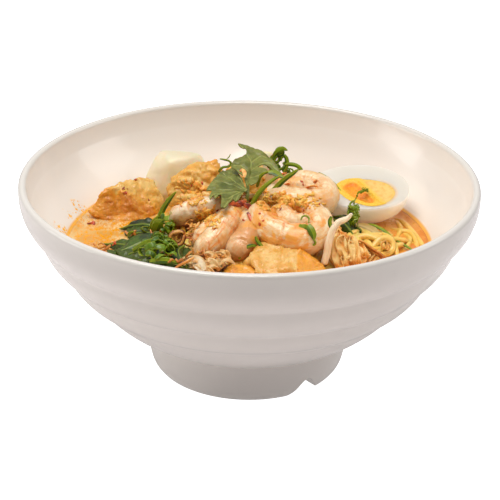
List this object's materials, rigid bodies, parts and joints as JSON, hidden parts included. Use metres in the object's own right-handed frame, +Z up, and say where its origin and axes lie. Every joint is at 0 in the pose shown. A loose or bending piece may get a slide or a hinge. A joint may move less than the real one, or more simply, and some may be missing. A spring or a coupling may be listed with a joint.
{
  "type": "laksa noodle soup in a bowl",
  "caption": "Wide ribbed bowl on a notched foot ring, filled with spiced coconut broth and a heap of noodles under prawns, fried tofu, a half egg, radish, greens, bean sprout and coriander.",
  "frame": {"origin": "on the bowl's axis, on the surface that the foot ring stands on", "axes": "+Z up along the bowl's axis; -Y is the front, the side the picture is taken from, and +X is to its right"},
  "size_m": [0.25, 0.25, 0.1107],
  "materials": {
    "bowl": "glossy off-white moulded melamine",
    "broth": "orange coconut broth with chilli oil on top",
    "noodles": "wet yellow wheat noodles",
    "egg_white": "boiled egg white",
    "egg_yolk": "soft boiled yolk",
    "prawn": "moist cooked prawn flesh with orange edges",
    "tofu": "wrinkled golden fried crust",
    "tofu_skin": "crumpled fried bean curd skin",
    "radish": "pale, slightly clear boiled radish",
    "cabbage": "pale wilted cabbage",
    "sprout": "pale moist bean sprout",
    "greens": "dark wet wilted leaves",
    "coriander": "soft grey-green herb leaf"
  },
  "bodies": {
    "root": {"bowl": "bowl", "soup": "broth", "noodles": "noodles", "egg_white": "egg_white", "egg_yolk": "egg_yolk", "prawn_centre": "prawn", "prawn_right": "prawn", "prawn_left": "prawn", "prawn_back": "prawn", "tofu_left": "tofu", "tofu_centre": "tofu", "tofu_back": "tofu", "tofu_front": "tofu", "tofu_front_left": "tofu", "tofu_skin": "tofu_skin", "radish_left": "radish", "radish_back": "radish", "cabbage": "cabbage", "bean_sprout": "sprout", "greens_front": "greens", "greens_left": "greens", "greens_right": "greens", "coriander": "coriander"}
  },
  "joints": []
}
